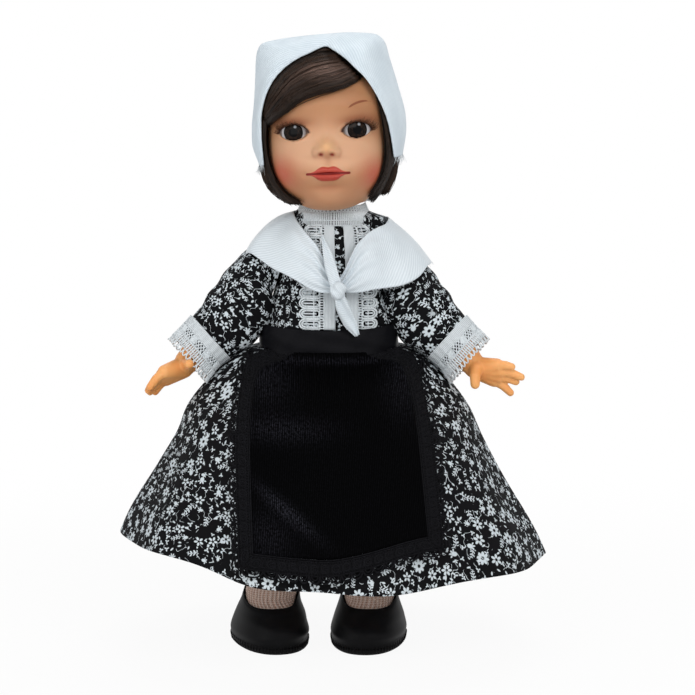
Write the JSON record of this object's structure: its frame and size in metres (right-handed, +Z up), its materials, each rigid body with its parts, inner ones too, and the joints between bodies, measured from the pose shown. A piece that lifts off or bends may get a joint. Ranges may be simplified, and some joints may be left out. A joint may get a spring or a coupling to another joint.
{
  "type": "costume doll",
  "caption": "Vinyl toddler doll in a traditional printed dress with lace trims, black apron, white satin shawl and kerchief; head, arms and legs turn at friction joints.",
  "frame": {"origin": "on the floor under the middle of the skirt's hem, between the two shoes", "axes": "+Z up along the doll, -Y the way the doll faces, +X to the doll's left"},
  "size_m": [0.1734, 0.1532, 0.2497],
  "materials": {
    "vinyl_skin": "matte peach vinyl with painted lips, cheeks and brows",
    "vinyl_limb": "satin orange-peach vinyl",
    "eye": "glossy set-in eye, dark brown iris in white",
    "lash": "brown bristle lashes",
    "hair": "dark brown rooted fibre with a soft sheen",
    "kerchief_cloth": "bluish white ribbed cloth",
    "sock_knit": "beige-pink ribbed knit",
    "shoe": "black leatherette with a low sheen",
    "shoe_sole": "black moulded sole with a stitched welt",
    "white_cotton": "plain white cotton",
    "flower_print": "black cotton with a small white flower print",
    "white_lace": "white cotton bobbin lace",
    "steel": "pressed snap fasteners",
    "black_satin": "black satin ribbon",
    "black_velvet": "black ribbed velvet satin",
    "black_lace": "black lace edging",
    "white_satin": "white satin with a fine rib"
  },
  "bodies": {
    "torso": {"torso": "vinyl_skin", "briefs": "white_cotton", "petticoat": "white_cotton", "bodice": "flower_print", "skirt": "flower_print", "collar_lace": "white_lace", "front_lace_left": "white_lace", "front_lace_right": "white_lace", "back_placket": "flower_print", "back_snap_1": "steel", "back_snap_2": "steel", "back_snap_3": "steel", "apron_band": "black_satin", "apron_panel": "black_velvet", "apron_lace": "black_lace", "apron_bow": "black_satin", "shawl": "white_satin", "shawl_knot": "white_satin"},
    "head": {"head": "vinyl_skin", "eye_left": "eye", "eye_right": "eye", "eyelash_left": "lash", "eyelash_right": "lash", "hair_bob_back": "hair", "hair_lock_left": "hair", "hair_lock_right": "hair", "hair_fringe": "hair", "kerchief": "kerchief_cloth", "kerchief_knot": "kerchief_cloth"},
    "arm_left": {"arm_left": "vinyl_limb", "sleeve_left": "flower_print", "cuff_lace_left": "white_lace"},
    "arm_right": {"arm_right": "vinyl_limb", "sleeve_right": "flower_print", "cuff_lace_right": "white_lace"},
    "leg_left": {"leg_left": "vinyl_limb", "sock_left": "sock_knit", "shoe_upper_left": "shoe", "shoe_sole_left": "shoe_sole"},
    "leg_right": {"leg_right": "vinyl_limb", "sock_right": "sock_knit", "shoe_upper_right": "shoe", "shoe_sole_right": "shoe_sole"}
  },
  "joints": [
    {"name": "neck_turn", "type": "hinge", "parent": "torso", "child": "head", "pos_m": [0, 0, 0.1795], "axis": [0, 0, 1], "continuous": true},
    {"name": "shoulder_left", "type": "hinge", "parent": "torso", "child": "arm_left", "pos_m": [0.0275, 0, 0.1565], "axis": [-1, 0, 0], "range_deg": [-30, 45]},
    {"name": "shoulder_right", "type": "hinge", "parent": "torso", "child": "arm_right", "pos_m": [-0.0275, 0, 0.1565], "axis": [-1, 0, 0], "range_deg": [-30, 45]},
    {"name": "hip_left", "type": "hinge", "parent": "torso", "child": "leg_left", "pos_m": [0.017, 0, 0.098], "axis": [-1, 0, 0], "range_deg": [-25, 30]},
    {"name": "hip_right", "type": "hinge", "parent": "torso", "child": "leg_right", "pos_m": [-0.017, 0, 0.098], "axis": [-1, 0, 0], "range_deg": [-25, 30]}
  ]
}
